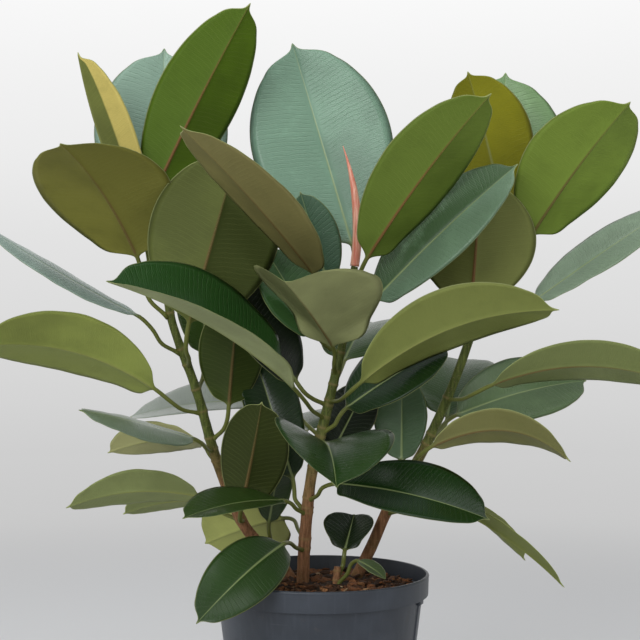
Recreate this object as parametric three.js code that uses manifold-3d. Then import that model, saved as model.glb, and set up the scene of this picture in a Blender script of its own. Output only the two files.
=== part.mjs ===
// A rubber plant in a round nursery pot: three cuttings leaning apart from one pot of bark soil.
// Millimetres, +Z up, the origin at the centre of the pot's underside.
import * as THREE from 'three';
import { mergeVertices } from 'three/addons/utils/BufferGeometryUtils.js';
import Module from 'manifold-3d';

const wasm = await Module();
wasm.setup();

// Pot: a 21 cm round container, 19 cm high.
const POT_HEIGHT = 190;
const RIM_RADIUS = 105;
const RIM_BAND = 20;
const RIM_LIP = 3;
const RIM_ROUND = 1;
const RIM_TAPER = 0.5;
const WALL = 1.8;
const BODY_TOP_RADIUS = 98.5;
const BASE_RADIUS = 77;
const BASE_THICKNESS = 3;
const BASE_CHAMFER = 4;
const POT_SIDES = 48;
const RIB_COUNT = 2;
const RIB_RADIUS = 2.2;
const RIB_FIRST_ANGLE = -19;
const RIB_SINK = 0.4;
const RIB_START = 10;
const LUG_SIZE = [4, 12, 6];
const LUG_SINK = 1;
const DRAIN_COUNT = 8;
const DRAIN_RING = 52;
const DRAIN_RADIUS = 6;
const DRAIN_SIDES = 12;

// Soil: fills the pot to a little below the rim.
const SOIL_LEVEL = 175;
const SOIL_CROWN = 5;
const SOIL_LUMPS = 1.6;
const SOIL_SIDES = 24;
const SOIL_RINGS = 7;
const SOIL_WAVES = [0.13, 0.11, 0.23];
const SOIL_CALM_EDGE = 2;

// Gaps between neighbours, and the stem's and leaf's common measures.
const GAP = 0.35;
const STEM_SIDES = 8;
const STEM_STEPS = 14;
const SHEATH_STEPS = 8;
const SHEATH_STRAIGHT = 0.3;
const LEAF_POINTS = 8;
const PETIOLE_STEPS = 3;
const PETIOLE_RADIUS = 2.1;
const PETIOLE_FLARE = 2.8;
const BLADE_TOP = 0.5;
const BLADE_RIB = 1.5;
const BLADE_ENDS = 0.965;
const BLADE_LEAN = 1.08;
const BLADE_ROUNDNESS = 0.5;
const SPUR_WIDTH = 1.2;
const SPUR_END = 0.35;
const FLANK_POWER = 1.7;
const PETIOLE_REACH = 0.4;
const NECK_SHARE = 1 / 12;
const FOLD_SHARE = 1 / 6;
const RIB_FOOT = 0.2;
const BLADE_STATIONS = [0, 0.06, 0.16, 0.3, 0.46, 0.62, 0.76, 0.87, 0.935, 0.962, 1];

const STEMS = {
  stem_left: {
    path: [
      [-14, 36, 140], [-30, 36, 180], [-72, 34, 226], [-100, 24, 292],
      [-120, 8, 366], [-142, -2, 430], [-152, -4, 486],
    ],
    foot: 6.2,
    top: 3.6,
  },
  stem_middle: {
    path: [
      [-18, 8, 140], [-15, 6, 215], [-8, 0, 284], [9, -6, 356],
      [24, -10, 423], [33, -12, 484],
    ],
    foot: 6.5,
    top: 3.4,
  },
  stem_right: {
    path: [
      [16, 40, 140], [50, 38, 207], [66, 35, 244], [98, 22, 300],
      [117, 14, 341], [143, 5, 410], [166, 0, 500],
    ],
    foot: 6.2,
    top: 3.6,
  },
  shoot_low: {
    path: [
      [14, -6, 150], [15, -5, 175], [17, -3, 196],
    ],
    foot: 4,
    top: 3,
  },
};

const LEAVES = [
  // left stem
  {
    name: 'leaf_left_01', stem: 'stem_left', at: 478, neck: [-160, -8, 552], tip: [-66, -20, 734],
    faces: [-0.3, 0.95, 0.15], width: 86, fold: 18, bow: 10,
  },
  {
    name: 'leaf_left_02', stem: 'stem_left', at: 470, neck: [-160, 36, 530], tip: [-160, 94, 712],
    faces: [0.1, -0.95, 0.3], width: 136, fold: 10, bow: -10,
  },
  {
    name: 'leaf_left_03', stem: 'stem_left', at: 462, neck: [-170, 0, 512], tip: [-236, 16, 694],
    faces: [0.85, 0.5, 0.3], width: 84, fold: 30, bow: -8,
  },
  {
    name: 'leaf_left_04', stem: 'stem_left', at: 440, neck: [-174, -14, 492], tip: [-228, -126, 588],
    faces: [0.1, 0.55, 0.8], width: 132, fold: 6, bow: 12,
  },
  {
    name: 'leaf_left_05', stem: 'stem_left', at: 390, neck: [-120, -70, 430], tip: [-74, -96, 584],
    faces: [0, 0.9, 0.3], width: 124, fold: 14, bow: 6,
  },
  {
    name: 'leaf_left_06', stem: 'stem_left', at: 405, neck: [-172, -16, 436], tip: [-318, -30, 522],
    faces: [0.5, -0.2, 0.8], width: 58, fold: -6, bow: -2,
  },
  {
    name: 'leaf_left_07', stem: 'stem_left', at: 345, neck: [-156, -14, 366], tip: [-322, -60, 408],
    faces: [0, 0.6, 0.8], width: 100, fold: 10, bow: 22,
  },
  {
    name: 'leaf_left_08', stem: 'stem_left', at: 308, neck: [-120, -18, 320], tip: [-218, -90, 352],
    faces: [0.3, -0.15, 0.95], width: 70, fold: -10, bow: 2,
  },
  {
    name: 'leaf_left_09', stem: 'stem_left', at: 296, neck: [-118, 38, 312], tip: [-222, 120, 294],
    faces: [0.4, 0.55, 0.75], width: 50, fold: 10, bow: 10,
  },
  {
    name: 'leaf_left_10', stem: 'stem_left', at: 252, neck: [-116, 8, 262], tip: [-238, -40, 257],
    faces: [-0.2, 0.6, 0.75], width: 60, fold: 10, bow: 12,
  },
  {
    name: 'leaf_left_11', stem: 'stem_left', at: 240, neck: [-114, 44, 253], tip: [-200, 75, 236],
    faces: [0, 0.6, 0.8], width: 42, fold: 10, bow: 6,
  },
  {
    name: 'leaf_left_12', stem: 'stem_left', at: 236, neck: [-76, -8, 250], tip: [-54, -50, 357],
    faces: [0.2, 0.95, 0.2], width: 68, fold: 14, bow: 4,
  },
  {
    name: 'leaf_left_13', stem: 'stem_left', at: 318, neck: [-88, 2, 350], tip: [-78, 4, 458],
    faces: [-0.2, 0.95, 0.2], width: 68, fold: 16, bow: 4,
  },
  {
    name: 'leaf_left_14', stem: 'stem_left', at: 366, neck: [-114, 30, 398], tip: [-115, 60, 505],
    faces: [0.2, -0.9, 0.2], width: 60, fold: 12, bow: -4,
  },
  {
    name: 'leaf_left_15', stem: 'stem_left', at: 206, neck: [-50, 22, 234], tip: [-36, 26, 316],
    faces: [-0.3, -0.8, 0.3], width: 42, fold: 14, bow: 0,
  },
  // middle stem
  {
    name: 'leaf_middle_01', stem: 'stem_middle', at: 474, neck: [32, 22, 505], tip: [-28, 66, 712],
    faces: [-0.1, -0.95, 0.25], width: 142, fold: 10, bow: -10,
  },
  {
    name: 'leaf_middle_02', stem: 'stem_middle', at: 444, neck: [8, -6, 466], tip: [-19, -8, 556],
    faces: [0.15, -0.9, 0.2], width: 50, fold: 14, bow: 0,
  },
  {
    name: 'leaf_middle_03', stem: 'stem_middle', at: 458, neck: [43, -46, 489], tip: [152, -112, 634],
    faces: [-0.35, 0.85, 0.48], width: 88, fold: 16, bow: 8,
  },
  {
    name: 'leaf_middle_04', stem: 'stem_middle', at: 432, neck: [50, -26, 450], tip: [184, -50, 578],
    faces: [-0.4, -0.62, 0.5], width: 88, fold: 8, bow: 4,
  },
  {
    name: 'leaf_middle_05', stem: 'stem_middle', at: 384, neck: [12, -42, 408], tip: [-30, -150, 466],
    faces: [0.2, 0.38, 0.88], width: 140, fold: 31, bow: 2,
  },
  {
    name: 'leaf_middle_06', stem: 'stem_middle', at: 356, neck: [36, -58, 374], tip: [214, -102, 442],
    faces: [-0.2, 0.65, 0.72], width: 92, fold: 14, bow: 24,
  },
  {
    name: 'leaf_middle_07', stem: 'stem_middle', at: 330, neck: [24, -16, 348], tip: [124, -8, 409],
    faces: [-0.4, -0.6, 0.6], width: 82, fold: 10, bow: 4,
  },
  {
    name: 'leaf_middle_08', stem: 'stem_middle', at: 306, neck: [2, -40, 319], tip: [14, -162, 290],
    faces: [0.14, -0.15, 0.97], width: 118, fold: 24, bow: 10,
  },
  {
    name: 'leaf_middle_09', stem: 'stem_middle', at: 262, neck: [14, -44, 280], tip: [152, -100, 254],
    faces: [-0.03, -0.5, 0.85], width: 84, fold: 12, bow: 8,
  },
  {
    name: 'leaf_middle_10', stem: 'stem_middle', at: 440, neck: [-4, -66, 473], tip: [-116, -198, 594],
    faces: [0.45, 0.36, 0.62], width: 92, fold: 10, bow: 4,
  },
  {
    name: 'leaf_middle_11', stem: 'stem_middle', at: 340, neck: [-24, -60, 370], tip: [-182, -166, 466],
    faces: [0.53, -0.3, 0.78], width: 104, fold: 34, bow: 12,
  },
  {
    name: 'leaf_middle_12', stem: 'stem_middle', at: 352, neck: [-22, -26, 374], tip: [-92, -24, 484],
    faces: [0.4, -0.8, 0.3], width: 66, fold: 12, bow: 0,
  },
  {
    name: 'leaf_middle_13', stem: 'stem_middle', at: 252, neck: [-26, 4, 278], tip: [-72, 40, 420],
    faces: [0.3, -0.9, 0], width: 58, fold: 14, bow: 2,
  },
  {
    name: 'leaf_middle_14', stem: 'stem_middle', at: 322, neck: [-46, 54, 350], tip: [-198, 104, 332],
    faces: [-0.1, -0.35, 0.93], width: 82, fold: 10, bow: 8,
  },
  {
    name: 'leaf_middle_15', stem: 'stem_middle', at: 248, neck: [-34, -24, 262], tip: [-124, -92, 254],
    faces: [0.1, -0.2, 0.97], width: 64, fold: 10, bow: 6,
  },
  {
    name: 'leaf_middle_16', stem: 'stem_middle', at: 212, neck: [-34, -44, 224], tip: [-108, -134, 168],
    faces: [0.2, -0.75, 0.6], width: 60, fold: 8, bow: 14,
  },
  {
    name: 'leaf_middle_17', stem: 'stem_middle', at: 222, neck: [-36, 60, 234], tip: [-120, 116, 200],
    faces: [0.3, 0.75, 0.6], width: 92, fold: 8, bow: 4,
  },
  {
    name: 'leaf_middle_18', stem: 'stem_middle', at: 402, neck: [-2, -24, 418], tip: [-52, -24, 500],
    faces: [0.3, -0.85, 0.3], width: 66, fold: 12, bow: 0,
  },
  {
    name: 'leaf_middle_19', stem: 'stem_middle', at: 292, neck: [12, 12, 304], tip: [48, 38, 372],
    faces: [-0.3, -0.9, 0.3], width: 56, fold: 12, bow: 0,
  },
  {
    name: 'leaf_middle_20', stem: 'stem_middle', at: 372, neck: [24, 40, 392], tip: [58, 168, 430],
    faces: [0, -0.2, 0.95], width: 92, fold: 14, bow: 10,
  },
  {
    name: 'leaf_middle_21', stem: 'stem_middle', at: 300, neck: [-14, 44, 322], tip: [-44, 190, 316],
    faces: [0, -0.1, 1], width: 88, fold: 12, bow: 12,
  },
  // right stem
  {
    name: 'leaf_right_01', stem: 'stem_right', at: 490, neck: [204, 6, 514], tip: [286, -62, 634],
    faces: [-0.2, 0.8, 0.53], width: 108, fold: 12, bow: 6,
  },
  {
    name: 'leaf_right_02', stem: 'stem_right', at: 494, neck: [178, 14, 540], tip: [142, -2, 672],
    faces: [0.3, 0.88, 0.3], width: 92, fold: 26, bow: 6,
  },
  {
    name: 'leaf_right_03', stem: 'stem_right', at: 480, neck: [178, 46, 516], tip: [190, 88, 686],
    faces: [0, -0.95, 0.2], width: 130, fold: 10, bow: -8,
  },
  {
    name: 'leaf_right_04', stem: 'stem_right', at: 420, neck: [144, -18, 448], tip: [154, -18, 570],
    faces: [0, 0.93, 0.1], width: 118, fold: 8, bow: 2,
  },
  {
    name: 'leaf_right_05', stem: 'stem_right', at: 424, neck: [206, 10, 450], tip: [354, 20, 550],
    faces: [-0.5, -0.5, 0.7], width: 66, fold: 4, bow: 2,
  },
  {
    name: 'leaf_right_06', stem: 'stem_right', at: 358, neck: [160, -32, 371], tip: [344, -60, 368],
    faces: [0, 0.55, 0.83], width: 74, fold: 10, bow: 24,
  },
  {
    name: 'leaf_right_07', stem: 'stem_right', at: 322, neck: [134, 42, 338], tip: [268, 62, 372],
    faces: [-0.1, -0.65, 0.7], width: 88, fold: 8, bow: 8,
  },
  {
    name: 'leaf_right_08', stem: 'stem_right', at: 290, neck: [104, -24, 312], tip: [228, -80, 304],
    faces: [0.22, 0.6, 0.77], width: 56, fold: 10, bow: 28,
  },
  {
    name: 'leaf_right_09', stem: 'stem_right', at: 246, neck: [110, -16, 262], tip: [224, -70, 188],
    faces: [0.5, 0.15, 0.78], width: 60, fold: 14, bow: 8,
  },
  {
    name: 'leaf_right_10', stem: 'stem_right', at: 256, neck: [118, 34, 262], tip: [204, 44, 194],
    faces: [0.5, 0.3, 0.6], width: 52, fold: 12, bow: 6,
  },
  {
    name: 'leaf_right_11', stem: 'stem_right', at: 274, neck: [80, 26, 294], tip: [81, 34, 382],
    faces: [-0.3, -0.9, 0.2], width: 56, fold: 12, bow: 0,
  },
  {
    name: 'leaf_right_12', stem: 'stem_right', at: 312, neck: [128, 62, 334], tip: [154, 186, 390],
    faces: [0, -0.3, 0.95], width: 90, fold: 12, bow: 10,
  },
  // low shoot
  {
    name: 'leaf_low_01', stem: 'shoot_low', at: 192, neck: [24, 6, 210], tip: [34, 44, 240],
    faces: [-0.1, -0.6, 0.75], width: 56, fold: 28, bow: 0,
  },
  {
    name: 'leaf_low_02', stem: 'shoot_low', at: 183, neck: [36, -12, 203], tip: [62, -26, 188],
    faces: [0.2, -0.5, 0.8], width: 18, fold: 14, bow: 2,
  },
];

const SHEATHS = [
  { name: 'sheath_middle', stem: 'stem_middle', tip: [22, -6, 600], radius: 4.4 },
  { name: 'sheath_left', stem: 'stem_left', tip: [-150, 2, 545], radius: 3.8 },
  { name: 'sheath_right', stem: 'stem_right', tip: [168, 8, 560], radius: 3.8 },
];

const vector = (point) => new THREE.Vector3(...point);

const material = {
  pot: new THREE.MeshStandardMaterial({ color: 0x3a3f47, roughness: 0.6, metalness: 0 }),
  soil: new THREE.MeshStandardMaterial({ color: 0x4a3428, roughness: 1, metalness: 0 }),
  bark: new THREE.MeshStandardMaterial({ color: 0x745a3c, roughness: 0.85, metalness: 0 }),
  leaf: new THREE.MeshStandardMaterial({ color: 0x33552b, roughness: 0.35, metalness: 0 }),
  sheath: new THREE.MeshStandardMaterial({ color: 0x8c3138, roughness: 0.4, metalness: 0 }),
};

function mesh(name, geometry, surface) {
  const piece = new THREE.Mesh(geometry, surface);
  piece.name = name;
  return piece;
}

function toSolid(geometry) {
  const bare = geometry.clone();
  bare.deleteAttribute('normal');
  bare.deleteAttribute('uv');
  const merged = mergeVertices(bare);
  return new wasm.Manifold(new wasm.Mesh({
    numProp: 3,
    vertProperties: new Float32Array(merged.attributes.position.array),
    triVerts: new Uint32Array(merged.index.array),
  }));
}

function toGeometry(solid) {
  const result = solid.getMesh();
  const geometry = new THREE.BufferGeometry();
  geometry.setAttribute('position', new THREE.BufferAttribute(new Float32Array(result.vertProperties), 3));
  geometry.setIndex(new THREE.BufferAttribute(new Uint32Array(result.triVerts), 1));
  return geometry;
}

// A loft is a closed cylinder whose rings are laid out one by one. ringAt(step) gives a ring's centre, side
// and up directions, and outline(across, over) gives a point of the ring in those two directions.
function loft(sides, steps, ringAt) {
  const geometry = new THREE.CylinderGeometry(1, 1, 1, sides, steps);
  const position = geometry.attributes.position;
  const rings = Array.from({ length: steps + 1 }, (_, step) => ringAt(step));
  for (let i = 0; i < position.count; i += 1) {
    const ring = rings[Math.round((position.getY(i) + 0.5) * steps)];
    const [sideways, upwards] = ring.outline(position.getX(i), position.getZ(i));
    const point = ring.centre.clone()
      .addScaledVector(ring.side, sideways)
      .addScaledVector(ring.up, upwards);
    position.setXYZ(i, point.x, point.y, point.z);
  }
  return geometry;
}

// Directions square to a line, carried along it from the last point to the first without twisting.
function carriedFrames(tangents, lastUp) {
  const frames = [];
  let up = lastUp.clone();
  for (let i = tangents.length - 1; i >= 0; i -= 1) {
    const along = tangents[i];
    up = up.clone().addScaledVector(along, -up.dot(along)).normalize();
    frames[i] = { side: new THREE.Vector3().crossVectors(along, up), up };
  }
  return frames;
}

function stemRadius(stem, share, extra = 0) {
  return THREE.MathUtils.lerp(stem.foot, stem.top, share) + extra;
}

function stemCurve(stem) {
  return new THREE.CatmullRomCurve3(stem.path.map(vector));
}

function stemGeometry(stem, extra = 0) {
  const curve = stemCurve(stem);
  const shares = Array.from({ length: STEM_STEPS + 1 }, (_, step) => step / STEM_STEPS);
  const frames = carriedFrames(shares.map((share) => curve.getTangentAt(share)), new THREE.Vector3(0, 1, 0));
  return loft(STEM_SIDES, STEM_STEPS, (step) => {
    const radius = stemRadius(stem, shares[step], extra);
    return {
      centre: curve.getPointAt(shares[step]),
      ...frames[step],
      outline: (across, over) => [across * radius, over * radius],
    };
  });
}

// Where a stem's centre line passes a height.
function stemAtHeight(stem, height) {
  const curve = stemCurve(stem);
  let low = 0;
  let high = 1;
  while (high - low > 1e-5) {
    const middle = (low + high) / 2;
    if (curve.getPointAt(middle).z < height) low = middle;
    else high = middle;
  }
  return { centre: curve.getPointAt(low), along: curve.getTangentAt(low), radius: stemRadius(stem, low) };
}

function bladeHalfWidth(width, t) {
  const along = Math.min(t / BLADE_ENDS, 1);
  const body = Math.sin(Math.PI * along ** BLADE_LEAN) ** BLADE_ROUNDNESS;
  const spur = SPUR_WIDTH * (1 - t) * along;
  return Math.max(body, spur) * width / 2;
}

// One leaf is a round petiole that opens into a thin blade folded along its midrib.
function leafGeometry(leaf) {
  const stem = stemAtHeight(STEMS[leaf.stem], leaf.at);
  const neck = vector(leaf.neck);
  const tip = vector(leaf.tip);
  const chord = tip.clone().sub(neck);
  const faces = vector(leaf.faces);
  faces.addScaledVector(chord, -faces.dot(chord) / chord.lengthSq()).normalize();
  const crest = neck.clone().add(tip).multiplyScalar(0.5).addScaledVector(faces, leaf.bow * 2);
  const blade = new THREE.QuadraticBezierCurve3(neck, crest, tip);

  const outward = neck.clone().sub(stem.centre);
  outward.addScaledVector(stem.along, -outward.dot(stem.along)).normalize();
  const leaving = neck.clone().sub(stem.centre).normalize().add(outward).normalize();
  const tilt = Math.sqrt(1 - leaving.dot(outward) ** 2);
  const foot = stem.centre.clone().addScaledVector(outward, stem.radius + GAP + PETIOLE_FLARE * tilt);
  const reach = foot.distanceTo(neck) * PETIOLE_REACH;
  const petiole = new THREE.CubicBezierCurve3(
    foot,
    foot.clone().addScaledVector(leaving, reach),
    neck.clone().addScaledVector(blade.getTangent(0), -reach),
    neck,
  );

  const stations = [
    ...Array.from({ length: PETIOLE_STEPS }, (_, step) => ({ curve: petiole, t: step / PETIOLE_STEPS })),
    ...BLADE_STATIONS.map((t) => ({ curve: blade, t })),
  ];
  const frames = carriedFrames(stations.map(({ curve, t }) => curve.getTangent(t)), faces);
  const fold = THREE.MathUtils.degToRad(leaf.fold);

  return loft(LEAF_POINTS, stations.length - 1, (step) => {
    const { curve, t } = stations[step];
    const centre = curve.getPoint(t);
    if (curve === petiole) {
      const radius = step === 0 ? PETIOLE_FLARE : PETIOLE_RADIUS;
      return { centre, ...frames[step], outline: (across, over) => [across * radius, over * radius] };
    }
    const last = t === 1;
    const halfWidth = last ? SPUR_END : Math.max(bladeHalfWidth(leaf.width, t), PETIOLE_RADIUS);
    const narrowing = Math.max(1 - t / NECK_SHARE, 0);
    const above = last ? SPUR_END : BLADE_TOP + (PETIOLE_RADIUS - BLADE_TOP) * narrowing;
    const below = last ? SPUR_END : Math.min(BLADE_RIB + RIB_FOOT * (1 - t), PETIOLE_RADIUS);
    const rise = fold * Math.min(t / FOLD_SHARE, 1);
    return {
      centre,
      ...frames[step],
      outline: (across, over) => {
        const out = Math.sign(across) * Math.abs(across) ** FLANK_POWER * halfWidth;
        const thick = over > 0 ? over * above : over * below;
        return [out * Math.cos(rise), Math.abs(out) * Math.sin(rise) + thick];
      },
    };
  });
}

// A pointed red sheath over the growing tip of a stem.
function sheathGeometry(sheath) {
  const stem = stemCurve(STEMS[sheath.stem]);
  const start = stem.getPointAt(1).addScaledVector(stem.getTangentAt(1), GAP);
  const tip = vector(sheath.tip);
  const control = start.clone().addScaledVector(stem.getTangentAt(1), start.distanceTo(tip) / 2);
  const curve = new THREE.QuadraticBezierCurve3(start, control, tip);
  const frames = carriedFrames(
    Array.from({ length: SHEATH_STEPS + 1 }, (_, step) => curve.getTangent(step / SHEATH_STEPS)),
    new THREE.Vector3(0, 1, 0),
  );
  return loft(STEM_SIDES, SHEATH_STEPS, (step) => {
    const t = step / SHEATH_STEPS;
    const taper = Math.max((t - SHEATH_STRAIGHT) / (1 - SHEATH_STRAIGHT), 0);
    const radius = Math.max(sheath.radius * Math.cos(Math.PI / 2 * taper), SPUR_END);
    return {
      centre: curve.getPoint(t),
      ...frames[step],
      outline: (across, over) => [across * radius, over * radius],
    };
  });
}

function bodyRadius(z) {
  return THREE.MathUtils.mapLinear(z, 0, POT_HEIGHT - RIM_BAND, BASE_RADIUS, BODY_TOP_RADIUS);
}

function potGeometry() {
  const bandFoot = POT_HEIGHT - RIM_BAND;
  const inner = (z) => bodyRadius(z) - WALL;
  const profile = [
    [0, 0],
    [BASE_RADIUS - BASE_CHAMFER, 0],
    [bodyRadius(BASE_CHAMFER), BASE_CHAMFER],
    [bodyRadius(bandFoot), bandFoot],
    [RIM_RADIUS - RIM_ROUND, bandFoot],
    [RIM_RADIUS - RIM_TAPER, POT_HEIGHT - RIM_LIP],
    [RIM_RADIUS, POT_HEIGHT - RIM_LIP / 2],
    [RIM_RADIUS - RIM_ROUND, POT_HEIGHT],
    [RIM_RADIUS - RIM_LIP, POT_HEIGHT],
    [RIM_RADIUS - RIM_LIP - RIM_TAPER, bandFoot + WALL * 2],
    [inner(bandFoot), bandFoot + WALL],
    [inner(BASE_THICKNESS), BASE_THICKNESS],
    [0, BASE_THICKNESS],
  ].map(([radius, z]) => new THREE.Vector2(radius, z));
  const shell = new THREE.LatheGeometry(profile, POT_SIDES);
  shell.rotateX(Math.PI / 2);
  let solid = toSolid(shell);
  for (let i = 0; i < RIB_COUNT; i += 1) {
    const angle = THREE.MathUtils.degToRad(RIB_FIRST_ANGLE + i * 360 / RIB_COUNT);
    solid = solid.add(toSolid(ribGeometry(angle))).add(toSolid(lugGeometry(angle)));
  }
  for (let i = 0; i < DRAIN_COUNT; i += 1) {
    const angle = 2 * Math.PI * (i + 0.5) / DRAIN_COUNT;
    const hole = new THREE.CylinderGeometry(DRAIN_RADIUS, DRAIN_RADIUS, BASE_THICKNESS * 4, DRAIN_SIDES);
    hole.rotateX(Math.PI / 2);
    hole.translate(DRAIN_RING * Math.cos(angle), DRAIN_RING * Math.sin(angle), 0);
    solid = solid.subtract(toSolid(hole));
  }
  return toGeometry(solid);
}

// A half-round rib down the outside of the wall, from just under the band.
function ribGeometry(angle) {
  const top = POT_HEIGHT - RIM_BAND + LUG_SINK;
  const bottom = RIB_START;
  return loft(STEM_SIDES, 1, (step) => {
    const z = step === 0 ? bottom : top;
    const outward = new THREE.Vector3(Math.cos(angle), Math.sin(angle), 0);
    return {
      centre: outward.clone().multiplyScalar(bodyRadius(z) - RIB_SINK).setZ(z),
      side: new THREE.Vector3(-Math.sin(angle), Math.cos(angle), 0),
      up: outward,
      outline: (across, over) => [across * RIB_RADIUS, over * RIB_RADIUS / 2],
    };
  });
}

// A small stacking lug under the band, over each rib.
function lugGeometry(angle) {
  const lug = new THREE.BoxGeometry(...LUG_SIZE);
  const reach = BODY_TOP_RADIUS + LUG_SIZE[0] / 2 - LUG_SINK;
  lug.translate(reach, 0, POT_HEIGHT - RIM_BAND - LUG_SIZE[2] / 2 + LUG_SINK);
  lug.rotateZ(angle);
  return lug;
}

// The body of soil, with a lumpy top that rises a little towards the stems.
function soilGeometry() {
  const edge = bodyRadius(SOIL_LEVEL) - WALL - GAP * 3;
  const base = BASE_THICKNESS + GAP;
  const profile = [[0, base], [bodyRadius(base) - WALL - GAP * 2, base], [edge, POT_HEIGHT - RIM_BAND]];
  for (let ring = 0; ring <= SOIL_RINGS; ring += 1) {
    const share = 1 - ring / SOIL_RINGS;
    profile.push([(edge - 0.5) * share, SOIL_LEVEL + SOIL_CROWN * (1 - share * share)]);
  }
  const line = profile.map(([radius, z]) => new THREE.Vector2(radius, z));
  const body = new THREE.LatheGeometry(line, SOIL_SIDES);
  body.rotateX(Math.PI / 2);
  const position = body.attributes.position;
  for (let i = 0; i < position.count; i += 1) {
    const [x, y, z] = [position.getX(i), position.getY(i), position.getZ(i)];
    const inside = Math.hypot(x, y) < edge - SOIL_CALM_EDGE;
    if (z >= SOIL_LEVEL && inside) {
      const cross = Math.sin(x * SOIL_WAVES[0] + 1) * Math.cos(y * SOIL_WAVES[1]);
      position.setZ(i, z + SOIL_LUMPS * (cross + Math.sin(y * SOIL_WAVES[2])));
    }
  }
  let solid = toSolid(body);
  for (const stem of Object.values(STEMS)) {
    solid = solid.subtract(toSolid(stemGeometry(stem, GAP)));
  }
  return toGeometry(solid);
}

const plant = new THREE.Group();
plant.add(mesh('pot', potGeometry(), material.pot));
plant.add(mesh('soil', soilGeometry(), material.soil));
for (const [name, stem] of Object.entries(STEMS)) {
  plant.add(mesh(name, stemGeometry(stem), material.bark));
}
for (const sheath of SHEATHS) {
  plant.add(mesh(sheath.name, sheathGeometry(sheath), material.sheath));
}
for (const leaf of LEAVES) {
  plant.add(mesh(leaf.name, leafGeometry(leaf), material.leaf));
}

export default plant;
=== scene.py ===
import math
import random

import bmesh
import bpy
from mathutils import Euler, Matrix, Vector, noise


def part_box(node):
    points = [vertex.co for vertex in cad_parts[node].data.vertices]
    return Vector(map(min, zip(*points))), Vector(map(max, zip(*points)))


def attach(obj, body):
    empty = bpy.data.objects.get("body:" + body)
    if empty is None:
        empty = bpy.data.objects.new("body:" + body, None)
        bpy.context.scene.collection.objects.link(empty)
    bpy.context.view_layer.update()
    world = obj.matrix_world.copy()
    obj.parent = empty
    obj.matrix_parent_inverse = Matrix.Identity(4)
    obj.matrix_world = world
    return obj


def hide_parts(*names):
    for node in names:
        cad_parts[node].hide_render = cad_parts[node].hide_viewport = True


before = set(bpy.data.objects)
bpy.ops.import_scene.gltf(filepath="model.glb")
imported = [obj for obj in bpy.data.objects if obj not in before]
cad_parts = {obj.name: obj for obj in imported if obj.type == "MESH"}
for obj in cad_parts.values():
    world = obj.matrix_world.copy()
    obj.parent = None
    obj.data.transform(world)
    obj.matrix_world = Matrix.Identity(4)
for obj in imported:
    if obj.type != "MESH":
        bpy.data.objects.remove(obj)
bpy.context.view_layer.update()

MM = 0.001

# The lofts of the CAD model: points in a ring, the ring where a leaf's petiole ends, and how
# close points are when they are one.
RING_POINTS = 8
NECK_RING = 3
MERGE = 2e-5

# Leaves
PETIOLE_ROWS = 14
BLADE_ROWS = 66
LEAF_COLUMNS = 48
COLUMN_BUNCHING = 1.6
ROW_BUNCHING = 0.55
BLADE_THICKNESS = 0.7 * MM
FOOT_DEPTH = 4.5 * MM
VEIN_SPACING = 4.6 * MM

# Stems
STEM_ROWS = 220
STEM_COLUMNS = 36
SHEATH_ROWS = 60

# Pot
POT_STEPS = 160
BAND_HEIGHT = 20
FOOT_RADIUS = 77
NECK_RADIUS = 98.5
RIB_ANGLE = math.radians(-19)
RIB_COUNT = 2
DRAIN_COUNT = 8
DRAIN_RING = 52 * MM
DRAIN_RADIUS = 6 * MM

# Soil
SOIL_STEPS = 140
SOIL_RINGS = 46
SOIL_TOP = 175
SOIL_CROWN = 5
SOIL_RADIUS = 0.096
SOIL_LUMPS = [(32, 2.6), (90, 1.6), (240, 0.7)]
SOIL_LEVEL = 0.178
CHIP_COUNT = 620
CHIP_REACH = 0.094
CHIP_LIMIT = 0.0955
STEM_CLEARANCE = 0.0075
CRUMB_COUNT = 900


def srgb(red, green, blue):
    """A colour as seen on a screen, made linear."""
    def linear(level):
        level /= 255
        return level / 12.92 if level <= 0.04045 else ((level + 0.055) / 1.055) ** 2.4
    return (linear(red), linear(green), linear(blue), 1)


def smoothstep(low, high, value):
    """0 at low and 1 at high, with soft ends."""
    share = min(max((value - low) / (high - low), 0), 1)
    return share * share * (3 - 2 * share)


# ---------------------------------------------------------------- materials


class Wire:
    """A shader socket that takes part in Python arithmetic."""

    def __init__(self, finish, socket):
        self.finish, self.socket = finish, socket

    def maths(self, operation, *values):
        return self.finish.node("Math", {"operation": operation}, dict(enumerate(values)))

    def __add__(self, other):
        return self.maths("ADD", self, other)

    def __radd__(self, other):
        return self.maths("ADD", other, self)

    def __sub__(self, other):
        return self.maths("SUBTRACT", self, other)

    def __rsub__(self, other):
        return self.maths("SUBTRACT", other, self)

    def __mul__(self, other):
        return self.maths("MULTIPLY", self, other)

    def __truediv__(self, other):
        return self.maths("DIVIDE", self, other)

    def __abs__(self):
        return self.maths("ABSOLUTE", self)

    def __gt__(self, other):
        return self.maths("GREATER_THAN", self, other)

    def step(self, low, high):
        """0 below low and 1 above high, with a soft ramp between them."""
        sockets = {"Value": self, "From Min": low, "From Max": high}
        return self.finish.node("MapRange", {"interpolation_type": "SMOOTHSTEP"}, sockets)

    def ripple(self):
        """0 at whole numbers and 1 half way between them."""
        return self.maths("PINGPONG", self, 0.5) * 2


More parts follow.
